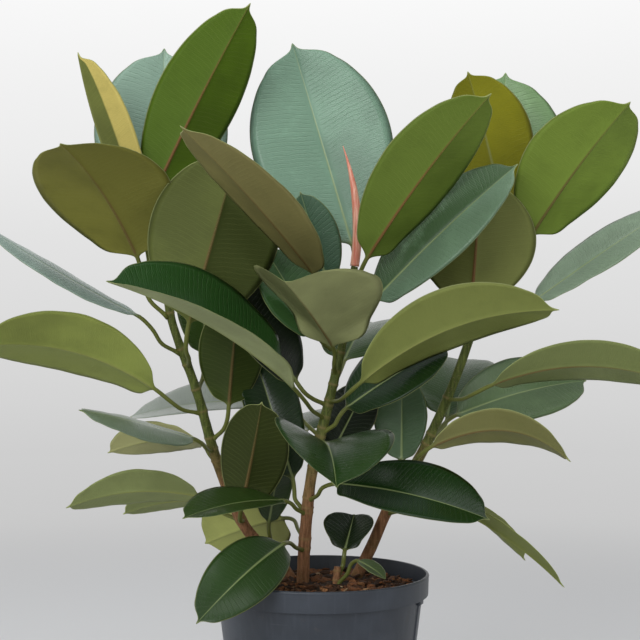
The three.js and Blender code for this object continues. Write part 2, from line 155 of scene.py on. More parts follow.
class Finish:
    """A material under construction, on one Principled shader."""

    def __init__(self, name, **constants):
        self.material = bpy.data.materials.new(name)
        self.material.use_nodes = True
        self.tree = self.material.node_tree
        self.shader = self.tree.nodes["Principled BSDF"]
        for key, value in constants.items():
            self.shader.inputs[key.replace("_", " ")].default_value = value

    def node(self, kind, settings=None, sockets=None, output=0):
        """Any node: its settings first, then the values or links of its sockets."""
        node = self.tree.nodes.new("ShaderNode" + kind)
        for key, value in (settings or {}).items():
            if key == "stops":
                ramp = node.color_ramp
                ramp.elements[0].position, ramp.elements[0].color = value[0]
                ramp.elements[1].position, ramp.elements[1].color = value[-1]
                for position, colour in value[1:-1]:
                    ramp.elements.new(position).color = colour
            else:
                setattr(node, key, value)
        for key, value in (sockets or {}).items():
            if isinstance(value, Wire):
                self.tree.links.new(value.socket, node.inputs[key])
            else:
                node.inputs[key].default_value = value
        return Wire(self, node.outputs[output])

    def place(self):
        return self.node("TexCoord", output="Object")

    def parts(self, vector):
        """The three numbers of a vector."""
        node = self.node("SeparateXYZ", {}, {0: vector}).socket.node
        return [Wire(self, output) for output in node.outputs]

    def noise(self, scale, detail=3, rough=0.55, place=None):
        sockets = {"Vector": place or self.place(), "Scale": scale, "Detail": detail,
                   "Roughness": rough}
        return self.node("TexNoise", {}, sockets)

    def cells(self, scale, place=None):
        return self.node("TexVoronoi", {}, {"Vector": place or self.place(), "Scale": scale})

    def stretched(self, scale):
        """Object coordinates scaled by a different amount along each axis."""
        return self.node("Mapping", {}, {"Vector": self.place(), "Scale": scale})

    def mix(self, share, first, second):
        sockets = {0: share, 6: first, 7: second}
        return self.node("Mix", {"data_type": "RGBA"}, sockets, output=2)

    def feed(self, socket, wire):
        self.tree.links.new(wire.socket, self.shader.inputs[socket])

    def bump(self, height, distance):
        self.feed("Normal", self.node("Bump", {}, {"Height": height, "Distance": distance}))


# How the two sides of a leaf are coloured where it has no colour of its own, and its ribs beneath.
PLAIN_UPPER = (36, 62, 26)
PLAIN_UNDER = (118, 126, 66)
RIB = {
    "red": srgb(124, 74, 46),
    "brown": srgb(104, 82, 46),
    "pale": srgb(136, 140, 78),
}

# Each leaf's own tones: its upper side, its under side, its rib, painted light and shade from part
# of the way over one half beneath, and a painted shade over one half above. The tones follow how
# each leaf looks in its light, so they hold painted light and shade too: the pale bluish uppers are
# a painted reflection of the lamps, the vivid green unders are painted light shining through, and
# the darkest unders are painted shadow.
LEAF_TONES = {
    "leaf_left_01": {"under": (76, 102, 12), "rib": "red"},
    "leaf_left_02": {"upper": (140, 168, 150)},
    "leaf_left_03": {"under": (98, 104, 46), "half_light_and_shade": (1, 0.42, (200, 182, 100))},
    "leaf_left_04": {"under": (116, 114, 48), "rib": "brown"},
    "leaf_left_05": {"under": (88, 96, 44), "rib": "brown", "half_light_and_shade": (-1, 0, (58, 68, 24))},
    "leaf_left_06": {"upper": (140, 160, 150)},
    "leaf_left_07": {"under": (132, 142, 70)},
    "leaf_left_08": {"upper": (108, 124, 104)},
    "leaf_left_09": {"under": (164, 164, 112)},
    "leaf_left_10": {"under": (136, 146, 92)},
    "leaf_left_11": {"under": (136, 146, 92)},
    "leaf_left_12": {"under": (46, 55, 12), "rib": "brown"},
    "leaf_left_13": {"under": (50, 65, 12), "rib": "brown"},
    "leaf_left_14": {"upper": (50, 74, 20)},
    "leaf_left_15": {"upper": (40, 60, 24)},
    "leaf_middle_01": {"upper": (118, 150, 128)},
    "leaf_middle_02": {"upper": (68, 98, 74)},
    "leaf_middle_03": {"under": (98, 118, 42), "rib": "red"},
    "leaf_middle_04": {"upper": (104, 130, 104), "shade": (-1, (58, 82, 50))},
    "leaf_middle_05": {"under": (148, 152, 104), "rib": "brown"},
    "leaf_middle_06": {"under": (126, 134, 70)},
    "leaf_middle_07": {"upper": (22, 46, 18)},
    "leaf_middle_08": {"upper": (28, 56, 16), "under": (150, 155, 120)},
    "leaf_middle_09": {"upper": (10, 42, 5)},
    "leaf_middle_10": {"under": (131, 124, 76), "rib": "brown"},
    "leaf_middle_11": {"upper": (32, 68, 26), "under": (150, 158, 112)},
    "leaf_middle_12": {"upper": (12, 22, 12)},
    "leaf_middle_13": {"upper": (20, 44, 16)},
    "leaf_middle_14": {"upper": (160, 168, 158)},
    "leaf_middle_15": {"upper": (46, 68, 25)},
    "leaf_middle_16": {"upper": (38, 62, 26)},
    "leaf_middle_17": {"under": (174, 180, 104)},
    "leaf_middle_18": {"upper": (54, 88, 46)},
    "leaf_middle_19": {"upper": (7, 21, 5)},
    "leaf_middle_20": {"upper": (50, 78, 24)},
    "leaf_middle_21": {"upper": (50, 78, 24)},
    "leaf_right_01": {"under": (116, 138, 52), "rib": "brown"},
    "leaf_right_02": {"under": (126, 124, 16)},
    "leaf_right_03": {"upper": (128, 162, 112)},
    "leaf_right_04": {"under": (114, 120, 62), "rib": "red"},
    "leaf_right_05": {"upper": (130, 150, 126)},
    "leaf_right_06": {"under": (122, 132, 78), "rib": "brown"},
    "leaf_right_07": {"upper": (94, 116, 80)},
    "leaf_right_08": {"under": (126, 125, 76), "rib": "brown"},
    "leaf_right_09": {"upper": (110, 134, 112)},
    "leaf_right_10": {"under": (130, 138, 80)},
    "leaf_right_11": {"upper": (79, 103, 75)},
    "leaf_right_12": {"upper": (46, 74, 26)},
    "leaf_low_01": {"upper": (18, 34, 14)},
    "leaf_low_02": {"upper": (72, 88, 56)},
}


def shades(colour, low=0.84, high=1.18):
    """A darker and a lighter version of a colour."""
    base = srgb(*colour)
    return [tuple(min(part * gain, 1) for part in base[:3]) + (1,) for gain in (low, high)]


def leaf_finish(name, tones, length):
    """A waxy dark face and a paler matt back, each with a midrib, side veins and a pale margin, in
    tones that hold painted light and shade.
    """
    upper = shades(tones.get("upper", PLAIN_UPPER))
    under = shades(tones.get("under", PLAIN_UNDER))
    half, start, half_light_and_shade = tones.get("half_light_and_shade", (1, 0, tones.get("under", PLAIN_UNDER)))
    side, shade = tones.get("shade", (1, tones.get("upper", PLAIN_UPPER)))
    stain = shades(tones.get("under", PLAIN_UNDER), 0.6)[0]
    bloom = shades(tones.get("upper", PLAIN_UPPER), 1.5)[0]
    rib = RIB[tones.get("rib", "pale")]
    paint = Finish(name, Coat_Roughness=0.2, Specular_IOR_Level=0.2)
    blade, code, _ = paint.parts(paint.node("UVMap", {"uv_map": "blade"}))
    back = code > 1.5
    across = (code - back * 2) * 2 - 1
    share = abs(across)
    beside = paint.parts(paint.node("UVMap", {"uv_map": "span"}))[1] / MM
    rim = beside / share.maths("MAXIMUM", share, 0.03) - beside

    drift = paint.noise(9, 4)
    mottle = paint.noise(46, 5, 0.6)
    speck = paint.noise(900, 2)
    wander = (paint.noise(30, 3) - 0.5) * 1.5
    order = blade * (length / VEIN_SPACING)
    phase = order - share * 3.4 + share * share * 1.1 + wander
    strength = paint.noise(34, 2).step(0.32, 0.68)
    vein = phase.ripple().step(0.66, 1) * share.step(0.03, 0.12) * (1 - share.step(0.88, 0.97))
    vein = vein * (strength * 0.75 + 0.25)
    minor = (phase * 2.6 + share * 7 + wander * 2).ripple().step(0.6, 1) * share.step(0.05, 0.2)
    ridge = 1 - (beside + blade * 1.2 - back * 0.5).step(0.7, 1.9)
    stalk = 1 - blade.step(-0.01, 0.06)
    margin = 1 - rim.step(0.45, 1.2)

    face = paint.mix(drift.step(0.35, 0.68), upper[0], upper[1])
    # painted shade: one half of the upper side is darkened, standing in for the half turned from
    # the light
    face = paint.mix((across * side).step(-0.03, 0.03) * 0.9, face, srgb(*shade))
    face = paint.mix(mottle.step(0.5, 0.8) * 0.35, face, bloom)
    face = paint.mix(vein * 0.05 + minor * 0.02, face, srgb(128, 150, 104))
    face = paint.mix(ridge * 0.62, face, srgb(150, 164, 110))
    reverse = paint.mix(drift.step(0.38, 0.66), under[0], under[1])
    # painted light and shade over part of one half beneath: a lit strip on leaf_left_03, a shadowed
    # half on leaf_left_05
    half_light_and_shade_mask = (across * half).step(start - 0.03, start + 0.03) * 0.92
    reverse = paint.mix(half_light_and_shade_mask, reverse, srgb(*half_light_and_shade))
    reverse = paint.mix(mottle.step(0.45, 0.8) * 0.3, reverse, stain)
    reverse = paint.mix(vein * 0.07 + minor * 0.03, reverse, srgb(150, 158, 92))
    reverse = paint.mix(ridge * (0.8 - blade.step(0.25, 1) * 0.55), reverse, rib)
    colour = paint.mix(back, face, reverse)
    colour = paint.mix(margin * (0.5 + back * 0.35), colour, srgb(164, 172, 112))
    colour = paint.mix(stalk, colour, srgb(104, 110, 52))
    paint.feed("Base Color", paint.mix(speck * 0.14, colour, srgb(40, 44, 20)))

    paint.feed("Roughness", back * 0.3 + 0.24 + mottle * 0.1 + vein * 0.06)
    paint.feed("Coat Weight", (1 - back) * (0.22 - mottle * 0.12))
    relief = vein * (back * 1.75 - 1.4) + minor * (back * 0.7 - 0.5) + mottle * 0.5 + speck * 0.08
    paint.bump(relief, 0.00022)
    return paint.material


def bark_finish():
    """Brown bark with fine cracks and pale lenticels, turning green towards the young top."""
    paint = Finish("bark", Specular_IOR_Level=0.3)
    height = paint.parts(paint.place())[2]
    grain = paint.noise(1.0, 6, 0.62, place=paint.stretched((420, 420, 60)))
    patch = paint.noise(40, 4)
    pores = 1 - paint.cells(1.0, place=paint.stretched((330, 330, 520))).step(0.16, 0.3)
    young = (height + patch * 0.08).step(0.28, 0.37)
    wood = paint.mix(grain.step(0.35, 0.7), srgb(106, 72, 47), srgb(156, 112, 80))
    wood = paint.mix(patch.step(0.5, 0.75) * 0.4, wood, srgb(98, 88, 48))
    shoot = paint.mix(grain.step(0.35, 0.7), srgb(62, 72, 24), srgb(98, 108, 46))
    colour = paint.mix(young, wood, shoot)
    colour = paint.mix(pores * 0.35, colour, srgb(144, 126, 88))
    scar = paint.parts(paint.node("UVMap", {"uv_map": "blade"}))[1]
    colour = paint.mix(scar * 0.6, colour, srgb(134, 114, 72))
    paint.feed("Base Color", colour)
    paint.feed("Roughness", 0.78 - young * 0.22 + grain * 0.1)
    paint.bump(grain * (1.1 - young * 0.7) + pores * 0.5, 0.0006)
    return paint.material


def sheath_finish():
    """Young red skin with paler streaks and blotches."""
    paint = Finish("bud sheath", Coat_Roughness=0.2, Coat_Weight=0.3)
    streak = paint.noise(1.0, 4, place=paint.stretched((500, 500, 40)))
    blotch = paint.noise(60, 3)
    colour = paint.mix(streak.step(0.35, 0.7), srgb(214, 118, 94), srgb(240, 184, 156))
    colour = paint.mix(blotch.step(0.5, 0.8) * 0.5, colour, srgb(222, 186, 150))
    paint.feed("Base Color", colour)
    paint.feed("Roughness", 0.38 + streak * 0.16)
    paint.bump(streak, 0.0002)
    return paint.material


def pot_finish():
    """Slate-grey moulded plastic: a faint grain, dust towards the foot and scuffs."""
    paint = Finish("pot plastic", Specular_IOR_Level=0.42)
    height = paint.parts(paint.place())[2]
    cloud = paint.noise(18, 4)
    grain = paint.noise(1400, 2)
    scuff = paint.noise(1.0, 5, 0.7, place=paint.stretched((30, 30, 420))).step(0.64, 0.8)
    flow = paint.noise(1.0, 3, place=paint.stretched((240, 240, 6)))
    dust = (paint.noise(70, 5, 0.65) - height * 1.4).step(0.36, 0.66)
    colour = paint.mix(cloud.step(0.35, 0.7), srgb(47, 52, 60), srgb(59, 65, 74))
    colour = paint.mix(flow.step(0.5, 0.8) * 0.25, colour, srgb(74, 79, 88))
    colour = paint.mix(scuff * 0.2, colour, srgb(122, 124, 128))
    colour = paint.mix(dust * 0.3, colour, srgb(110, 98, 84))
    paint.feed("Base Color", colour)
    paint.feed("Roughness", 0.36 + cloud * 0.14 + dust * 0.2 + scuff * 0.1)
    paint.bump(grain * 0.6 + flow * 0.5 + scuff * 0.3, 0.00012)
    return paint.material


def soil_finish():
    """Dark damp peat with fibres and small pale grains."""
    paint = Finish("peat", Specular_IOR_Level=0.2)
    clod = paint.noise(110, 6, 0.7)
    fibre = paint.noise(1.0, 4, 0.6, place=paint.stretched((900, 160, 400)))
    grit = 1 - paint.cells(420).step(0.1, 0.28)
    colour = paint.mix(clod.step(0.35, 0.7), srgb(34, 25, 20), srgb(74, 56, 42))
    colour = paint.mix(fibre.step(0.6, 0.75) * 0.5, colour, srgb(116, 84, 56))
    colour = paint.mix(grit * (clod > 0.58) * 0.7, colour, srgb(142, 122, 96))
    paint.feed("Base Color", colour)
    paint.feed("Roughness", 0.86 + clod * 0.1)
    paint.bump(clod + grit * 0.3, 0.0022)
    return paint.material


def chip_finish():
    """Bark chips and coir: each one its own brown, with grain along it."""
    paint = Finish("bark chips", Specular_IOR_Level=0.25)
    tint = paint.node("Attribute", {"attribute_name": "tint"}, output="Fac")
    grain = paint.noise(1.0, 5, 0.65, place=paint.stretched((700, 260, 700)))
    stops = [(0, srgb(40, 28, 22)), (0.35, srgb(84, 56, 38)), (0.62, srgb(132, 84, 52)),
             (0.85, srgb(160, 116, 76)), (1, srgb(176, 150, 116))]
    colour = paint.node("ValToRGB", {"stops": stops}, {0: tint})
    colour = paint.mix(grain.step(0.4, 0.7) * 0.6, colour, srgb(54, 38, 28))
    paint.feed("Base Color", colour)
    paint.feed("Roughness", 0.78 + grain * 0.18)
    paint.bump(grain, 0.0009)
    return paint.material


# ---------------------------------------------------------------- shapes


def shaped(name, bm, material):
    """A mesh becomes a smooth object of one material."""
    mesh = bpy.data.meshes.new(name)
    bm.to_mesh(mesh)
    bm.free()
    mesh.shade_smooth()
    mesh.materials.append(material)
    piece = bpy.data.objects.new(name, mesh)
    bpy.context.scene.collection.objects.link(piece)
    return piece


def finished(name, bm, material, nodes):
    """A mesh becomes a piece that stands for its CAD nodes and rides with the plant."""
    piece = shaped(name, bm, material)
    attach(piece, "root")
    if nodes:
        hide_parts(*nodes)
    return piece


class Track:
    """A smooth run through values that are given at rising lengths."""

    def __init__(self, lengths, values):
        self.lengths, self.values = lengths, values
        gaps = [high - low for low, high in zip(lengths, lengths[1:])]
        slopes = [(high - low) / gap for low, high, gap in zip(values, values[1:], gaps)]
        inner = [(slopes[i] * gaps[i + 1] + slopes[i + 1] * gaps[i]) / (gaps[i] + gaps[i + 1])
                 for i in range(len(gaps) - 1)]
        self.tangents = [slopes[0], *inner, slopes[-1]]

    def at(self, length):
        last = len(self.lengths) - 2
        i = next((i for i in range(last) if length < self.lengths[i + 1]), last)
        gap = self.lengths[i + 1] - self.lengths[i]
        t = (length - self.lengths[i]) / gap
        return (self.values[i] * (2 * t ** 3 - 3 * t ** 2 + 1)
                + self.tangents[i] * (gap * (t ** 3 - 2 * t ** 2 + t))
                + self.values[i + 1] * (3 * t ** 2 - 2 * t ** 3)
                + self.tangents[i + 1] * (gap * (t ** 3 - t ** 2)))


def middle_of(points):
    return sum(points, Vector()) / len(points)


def aligned(ring, before):
    """The ring's points, turned to follow the ring before it."""
    here, there = middle_of(ring), middle_of(before)
    ways = [turn[i:] + turn[:i] for turn in (ring, ring[::-1]) for i in range(len(ring))]
    return max(ways, key=lambda way: sum((p - here).dot(q - there) for p, q in zip(way, before)))


def rings_of(node):
    """The rings of a lofted CAD solid from its foot to its tip, their points in step."""
    bm = bmesh.new()
    bm.from_mesh(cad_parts[node].data)
    bmesh.ops.remove_doubles(bm, verts=bm.verts, dist=MERGE)
    caps = [vert for vert in bm.verts if len(vert.link_edges) == RING_POINTS]
    spread = {cap: sum(edge.calc_length() for edge in cap.link_edges) for cap in caps}
    foot, tip = max(caps, key=spread.get), min(caps, key=spread.get)
    seen = {foot}
    ring = {edge.other_vert(foot) for edge in foot.link_edges}
    rings = []
    while tip not in ring:
        ordered = [min(ring, key=lambda vert: vert.index)]
        while len(ordered) < len(ring):
            beside = [edge.other_vert(ordered[-1]) for edge in ordered[-1].link_edges]
            ordered.append(next(v for v in beside if v in ring and v not in ordered))
        points = [vert.co.copy() for vert in ordered]
        rings.append(aligned(points, rings[-1]) if rings else points)
        seen |= ring
        ring = {e.other_vert(v) for v in ring for e in v.link_edges} - seen
    bm.free()
    return rings


def lengths_along(centres):
    lengths = [0.0]
    for low, high in zip(centres, centres[1:]):
        lengths.append(lengths[-1] + (high - low).length)
    return lengths


def wrapped(rows, columns, place, charts):
    """A closed skin: a grid wrapped round, with each end drawn together to a point.

    place(row, column) gives a point, and charts[name](row, column, under) gives its place in a UV
    map, where under says that the face is in the second half of the way round.
    """
    bm = bmesh.new()
    bmesh.ops.create_grid(bm, x_segments=columns, y_segments=rows, size=0.5)
    layers = {name: bm.loops.layers.uv.new(name) for name in charts}
    spots = {v: (round((v.co.y + 0.5) * rows), round((v.co.x + 0.5) * columns)) for v in bm.verts}
    for face in bm.faces:
        under = sum(spots[vert][1] for vert in face.verts) > 2 * columns
        for loop in face.loops:
            for name, layer in layers.items():
                loop[layer].uv = charts[name](*spots[loop.vert], under)
    for vert, spot in spots.items():
        vert.co = place(*spot)
    bmesh.ops.remove_doubles(bm, verts=bm.verts, dist=1e-7)
    bmesh.ops.recalc_face_normals(bm, faces=bm.faces)
    return bm


class Leaf:
    """A leaf read from its CAD rings: its line, its two half blades and which way is up."""

    def __init__(self, node):
        self.dice = random.Random(node)
        rings = rings_of(node)
        wide = max(rings, key=lambda ring: max((ring[i] - ring[i + 4]).length for i in range(4)))
        edge = max(range(4), key=lambda i: (wide[i] - wide[i + 4]).length)
        turned = [ring[edge:] + ring[:edge] for ring in rings]

        def bulge(ring, skin):
            flank, crest, rim = ring[skin - 1], ring[skin], ring[0]
            share = (flank - crest).dot(rim - crest) / (rim - crest).length_squared
            return (flank - crest.lerp(rim, share)).length

        blades = turned[NECK_RING + 2:-2]
        above = sum(bulge(ring, 2) for ring in blades)
        below = sum(bulge([ring[0], *ring[:0:-1]], 2) for ring in blades)
        if above > below:
            turned = [[ring[0], *ring[:0:-1]] for ring in turned]
        centres = []
        for i, ring in enumerate(turned):
            flat = NECK_RING < i < len(turned) - 1
            centres.append(ring[2].lerp(ring[6], 0.25 if flat else 0.5))
        inward = (centres[0] - centres[1]).normalized() * FOOT_DEPTH
        centres.insert(0, centres[0] + inward)
        turned.insert(0, turned[0])
        lengths = lengths_along(centres)
        self.neck = lengths[NECK_RING + 1]
        self.length = lengths[-1] - self.neck
        self.line = Track(lengths, centres)
        self.foot = centres[1]
        self.stalk = (turned[2][0] - centres[2]).length
        sides = [((ring[0] - ring[4]).normalized()) for ring in turned]
        ups = [(ring[2] - ring[6]).normalized() for ring in turned]
        self.side, self.up = Track(lengths, sides), Track(lengths, ups)
        first = NECK_RING + 1
        self.right = Track(lengths[first:], [r[0] - c for r, c in zip(turned, centres)][first:])
        self.left = Track(lengths[first:], [r[4] - c for r, c in zip(turned, centres)][first:])

    def rows(self):
        """The lengths of the mesh's rows: closer together towards both ends of the blade."""
        rows = [0.0]
        rows += [self.neck * i / PETIOLE_ROWS for i in range(PETIOLE_ROWS)]
        for i in range(BLADE_ROWS + 1):
            share = i / BLADE_ROWS
            cosine = 0.5 - 0.5 * math.cos(math.pi * share)
            eased = share + (cosine - share) * ROW_BUNCHING
            rows.append(self.neck + self.length * eased)
        return rows + [rows[-1]]


def half_share(column):
    """How far out a column lies, from 1 at one edge to -1 at the other, on either side."""
    way = column / LEAF_COLUMNS
    even = 1 - 4 * way if way <= 0.5 else 4 * way - 3
    return math.copysign(abs(even) ** COLUMN_BUNCHING, even)


def leaf_mesh(leaf):
    """The blade as a thin curved skin with a real midrib, on a round petiole."""
    dice = leaf.dice
    arch = dice.uniform(0.02, 0.07)
    wave = dice.uniform(0.35, 0.95) * MM
    drift = dice.uniform(0, 100)
    rows = leaf.rows()
    frames = []
    for length in rows:
        t = (length - leaf.neck) / leaf.length
        on_blade = max(length, leaf.neck)
        frames.append({
            "t": t, "centre": leaf.line.at(length), "flat": smoothstep(-0.01, 0.07, t),
            "side": leaf.side.at(length).normalized(), "up": leaf.up.at(length).normalized(),
            "right": leaf.right.at(on_blade), "left": leaf.left.at(on_blade),
            "flare": 1 + 0.35 * smoothstep(8 * MM, 0, length),
        })
    last = len(rows) - 1

    def place(row, column):
        here = frames[row]
        if row in (0, last):
            return here["centre"]
        way = column / LEAF_COLUMNS
        v = half_share(column)
        under = way > 0.5
        t = here["t"]
        half = here["right"] if v > 0 else here["left"]
        reach = half.length
        beside = abs(v) * reach
        skin = BLADE_THICKNESS / 2 * math.sqrt(max(1 - abs(v) ** 9, 0))
        rib = math.exp(-(beside / ((2.1 - 1.2 * t) * MM)) ** 2)
        if under:
            lift = -skin - (1.35 - 0.9 * t) * MM * rib
        else:
            lift = skin - (0.5 - 0.3 * t) * MM * rib
        lift *= smoothstep(1.0, 0.985, t) * 0.8 + 0.2
        lift += arch * reach * 4 * (abs(v) - v * v) * 0.5
        swing = noise.noise(Vector((t * 4.2 + drift, v * 0.9, 0))) + 0.4 * noise.noise(
            Vector((t * 11 + drift, v * 2, 5)))
        lift += wave * 2.2 * swing * v * v * smoothstep(0, 0.15, t) * smoothstep(1, 0.9, t)
        flat = here["centre"] + half * abs(v) + here["up"] * lift
        if here["flat"] >= 1:
            return flat
        angle = 2 * math.pi * way
        stalk = leaf.stalk * here["flare"]
        groove = 1 - 0.14 * max(math.sin(angle), 0)
        round_ = here["centre"] + (here["side"] * math.cos(angle)
                                   + here["up"] * math.sin(angle) * groove) * stalk
        return round_.lerp(flat, here["flat"])

    def blade_chart(row, column, under):
        return (frames[row]["t"], 0.5 + 0.5 * half_share(column) + (2 if under else 0))

    def span_chart(row, column, under):
        v = half_share(column)
        half = frames[row]["right"] if v > 0 else frames[row]["left"]
        return (rows[row], abs(v) * half.length)

    return wrapped(last, LEAF_COLUMNS, place, {"blade": blade_chart, "span": span_chart})


def tube_mesh(node, rows, columns, knots=(), lumps=0.0):
    """A round tube along a CAD node's rings, with a low ring at each knot and uneven skin."""
    rings = rings_of(node)
    centres = [middle_of(ring) for ring in rings]
    lengths = lengths_along(centres)
    radii = [sum((point - centre).length for point in ring) / len(ring)
             for ring, centre in zip(rings, centres)]
    line, radius = Track(lengths, centres), Track(lengths, radii)
    side = Track(lengths, [(ring[0] - ring[4]).normalized() for ring in rings])
    spots = [min((i / 400 * lengths[-1] for i in range(401)),
                 key=lambda length: (line.at(length) - knot).length) for knot in knots]
    frames = []
    for row in range(-1, rows + 2):
        length = lengths[-1] * min(max(row / rows, 0), 1)
        along = (line.at(length + 0.5 * MM) - line.at(length - 0.5 * MM)).normalized()
        across = side.at(length)
        across = (across - along * across.dot(along)).normalized()
        ring = sum(math.exp(-((length - spot) / (1.1 * MM)) ** 2) for spot in spots)
        swell = sum(math.exp(-((length - spot) / (5 * MM)) ** 2) for spot in spots)
        over = along.cross(across)
        frames.append((line.at(length), across, over, radius.at(length), ring, swell))
    last = rows + 2

    def place(row, column):
        centre, across, over, size, ring, swell = frames[row]
        if row in (0, last):
            return centre
        angle = 2 * math.pi * column / columns
        out = across * math.cos(angle) + over * math.sin(angle)
        point = centre + out * size
        rough = noise.noise(point * 90) * 0.7 + noise.noise(point * 260) * 0.3
        grown = min(ring, 1) * 0.45 * MM + min(swell, 1) * 0.35 * MM + rough * lumps * size
        return point + out * grown

    def chart(row, column, under):
        return (column / columns, min(frames[row][4], 1))

    return wrapped(last, columns, place, {"blade": chart})


def spun(profile, steps):
    """A closed solid of revolution from (radius, height) points in millimetres."""
    bm = bmesh.new()
    verts = [bm.verts.new((radius * MM, 0, height * MM)) for radius, height in profile]
    edges = [bm.edges.new(pair) for pair in zip(verts, verts[1:])]
    bmesh.ops.spin(bm, geom=verts + edges, cent=(0, 0, 0), axis=(0, 0, 1), angle=2 * math.pi,
                   steps=steps, use_merge=True)
    bmesh.ops.remove_doubles(bm, verts=bm.verts, dist=1e-6)
    bmesh.ops.recalc_face_normals(bm, faces=bm.faces)
    return bm


def rounded(corners, radius, steps=4):
    """An open line of corners with each inner corner rounded off."""
    line = [corners[0]]
    for before, corner, after in zip(corners, corners[1:], corners[2:]):
        b, c, a = Vector(before), Vector(corner), Vector(after)
        cut = min(radius, (b - c).length * 0.45, (a - c).length * 0.45)
        start, end = c + (b - c).normalized() * cut, c + (a - c).normalized() * cut
        for i in range(steps + 1):
            t = i / steps
            line.append(tuple(start * (1 - t) ** 2 + c * 2 * t * (1 - t) + end * t * t))
    return line + [corners[-1]]


def pot_mesh(high):
    """The container: band, rolled rim, tapered wall, ribs with lugs and a base with drain holes."""
    top, rim = high.z / MM, high.x / MM
    band = top - BAND_HEIGHT
    foot, neck = FOOT_RADIUS, NECK_RADIUS
    outside = [(0, 0), (54, 0), (56, 1.2), (66, 1.2), (68, 0), (foot - 4, 0), (foot + 0.5, 4),
               (neck, band), (rim - 1, band), (rim - 0.4, top - 3), (rim, top - 1.5),
               (rim - 1, top), (rim - 3, top), (rim - 3.5, band + 3.8), (neck - 1.8, band + 1.8),
               (foot - 1.4, 3), (0, 3)]
    bm = spun(rounded(outside, 0.8), POT_STEPS)
    wall = math.atan2(neck - foot, band)
    for i in range(RIB_COUNT):
        turn = Matrix.Rotation(RIB_ANGLE + i * 2 * math.pi / RIB_COUNT, 4, "Z")
        length = band - 10
        centre = Vector(((foot + (neck - foot) * 0.53) * MM, 0, (band / 2 + 5.5) * MM))
        lean = Matrix.Rotation(wall, 4, "Y")
        bmesh.ops.create_cone(
            bm, cap_ends=True, segments=20, radius1=2.2 * MM, radius2=2.2 * MM, depth=length * MM,
            matrix=turn @ Matrix.Translation(centre) @ lean @ Matrix.Diagonal((0.55, 1, 1, 1)))
        lug = bmesh.ops.create_cube(
            bm, size=1, matrix=turn @ Matrix.Translation(((neck + 1) * MM, 0, (band - 2) * MM))
            @ Matrix.Diagonal((4 * MM, 12 * MM, 6 * MM, 1)))
        edges = list(dict.fromkeys(edge for vert in lug["verts"] for edge in vert.link_edges))
        bmesh.ops.bevel(bm, geom=edges, offset=0.9 * MM, affect="EDGES", segments=3, profile=0.5,
                        material=-1)
    return bm


def drill(piece):
    """Cuts the drain holes through the pot's base."""
    bm = bmesh.new()
    for i in range(DRAIN_COUNT):
        angle = 2 * math.pi * (i + 0.5) / DRAIN_COUNT
        spot = Matrix.Translation((DRAIN_RING * math.cos(angle), DRAIN_RING * math.sin(angle), 0))
        bmesh.ops.create_cone(bm, cap_ends=True, segments=32, radius1=DRAIN_RADIUS,
                              radius2=DRAIN_RADIUS, depth=16 * MM, matrix=spot)
    mesh = bpy.data.meshes.new("drill")
    bm.to_mesh(mesh)
    bm.free()
    cutter = bpy.data.objects.new("drill", mesh)
    bpy.context.scene.collection.objects.link(cutter)
    cut = piece.modifiers.new("drain holes", "BOOLEAN")
    cut.operation, cut.object, cut.solver = "DIFFERENCE", cutter, "EXACT"
    cut.use_self = True
    graph = bpy.context.evaluated_depsgraph_get()
    drilled = bpy.data.meshes.new_from_object(piece.evaluated_get(graph))
    piece.modifiers.clear()
    piece.data = drilled
    bpy.data.objects.remove(cutter)


def soil_height(x, y):
    """The lumpy top of the soil over a point, all in metres."""
    reach = math.hypot(x, y) / SOIL_RADIUS
    spot = Vector((x, y, 0))
    lumps = sum(noise.noise(spot * scale) * size for scale, size in SOIL_LUMPS)
    return (SOIL_TOP + SOIL_CROWN * (1 - reach * reach) + lumps * smoothstep(1.02, 0.9, reach)) * MM


def soil_mesh():
    """The root ball: smooth where the pot hides it, crumbled on top."""
    foot, edge = 74.3, 96
    profile = [(0, 3.6), (foot, 3.6), (edge - 0.4, 168)]
    profile += [(edge * (1 - i / SOIL_RINGS), 176) for i in range(SOIL_RINGS + 1)]
    bm = spun(profile, SOIL_STEPS)
    for vert in bm.verts:
        if vert.co.z > 172 * MM:
            vert.co.z = soil_height(vert.co.x, vert.co.y)
    return bm


def strewn_mesh(count, sizes, dice, stems, fineness):
    """Chips lying about on the soil, clear of the stems, each with its own tint."""
    bm = bmesh.new()
    tint = bm.verts.layers.float.new("tint")
    while count:
        angle, reach = dice.uniform(0, 2 * math.pi), CHIP_REACH * math.sqrt(dice.random())
        x, y = reach * math.cos(angle), reach * math.sin(angle)
        long = dice.uniform(*sizes) * MM
        if any((Vector((x, y)) - stem).length < STEM_CLEARANCE + long / 2 for stem in stems):
            continue
        if reach + long / 2 > CHIP_LIMIT:
            continue
        wide, thick = long * dice.uniform(0.35, 0.8), long * dice.uniform(0.12, 0.3)
        turn = Euler((dice.gauss(0, 0.35), dice.gauss(0, 0.35), dice.uniform(0, 6.3))).to_matrix()
        seat = Vector((x, y, soil_height(x, y) + thick * 0.35))
        shade = min(max(dice.gauss(0.42, 0.24), 0), 1)
        chip = bmesh.ops.create_icosphere(bm, subdivisions=fineness, radius=0.5)
        for vert in chip["verts"]:
            co = vert.co * (1 + 0.35 * noise.noise(vert.co * 2.4 + seat * 900))
            boxy = Vector([math.copysign(abs(2 * part) ** 0.6 / 2, part) for part in co])
            vert.co = seat + turn @ Vector((boxy.x * long, boxy.y * wide, boxy.z * thick))
            vert[tint] = shade
        count -= 1
    bmesh.ops.recalc_face_normals(bm, faces=bm.faces)
    return bm


# ---------------------------------------------------------------- the plant

leaves = {node: Leaf(node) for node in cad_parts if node.startswith("leaf_")}
for node, leaf in leaves.items():
    finish = leaf_finish(node.replace("_", " "), LEAF_TONES[node], leaf.length)
    finished("fine_" + node, leaf_mesh(leaf), finish, [node])

